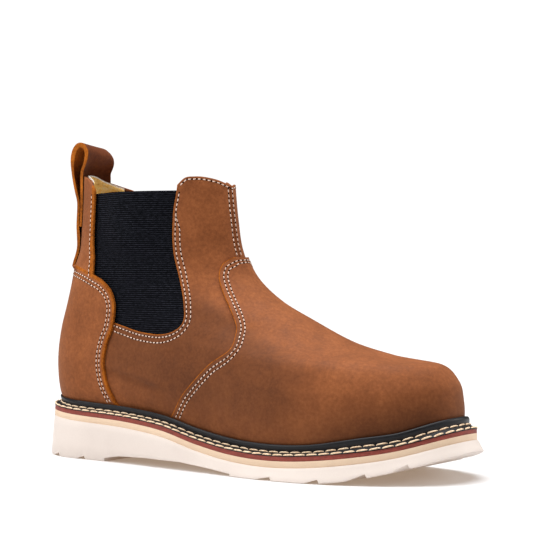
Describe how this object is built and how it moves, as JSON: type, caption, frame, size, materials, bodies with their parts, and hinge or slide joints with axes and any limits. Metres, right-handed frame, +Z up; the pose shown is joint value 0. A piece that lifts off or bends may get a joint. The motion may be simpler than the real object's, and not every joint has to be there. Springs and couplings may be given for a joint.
{
  "type": "chelsea work boot",
  "caption": "Ankle-high pull-on work boot with elastic side gores, a leather vamp and counter, a back pull loop, a stitched welt and a lugged wedge sole.",
  "frame": {"origin": "on the floor under the middle of the sole's outline", "axes": "+X towards the toe, +Y towards the inner side of the foot, +Z up"},
  "size_m": [0.3058, 0.1128, 0.2031],
  "materials": {
    "outsole_rubber": "matte cream",
    "slip_sole_rubber": "matte tan",
    "midsole_leather": "dyed dark red edge",
    "welt_leather": "black, slight sheen",
    "insole_board": "matte tan",
    "upper_leather": "oiled brown, mottled",
    "strap_leather": "oiled dark brown",
    "elastic": "ribbed black elastic"
  },
  "bodies": {
    "root": {"outsole": "outsole_rubber", "slip_sole": "slip_sole_rubber", "midsole": "midsole_leather", "welt": "welt_leather", "insole": "insole_board", "upper": "upper_leather", "vamp": "upper_leather", "counter": "upper_leather", "back_strip": "strap_leather", "gore_outer": "elastic", "gore_inner": "elastic", "pull_loop": "strap_leather"}
  },
  "joints": []
}
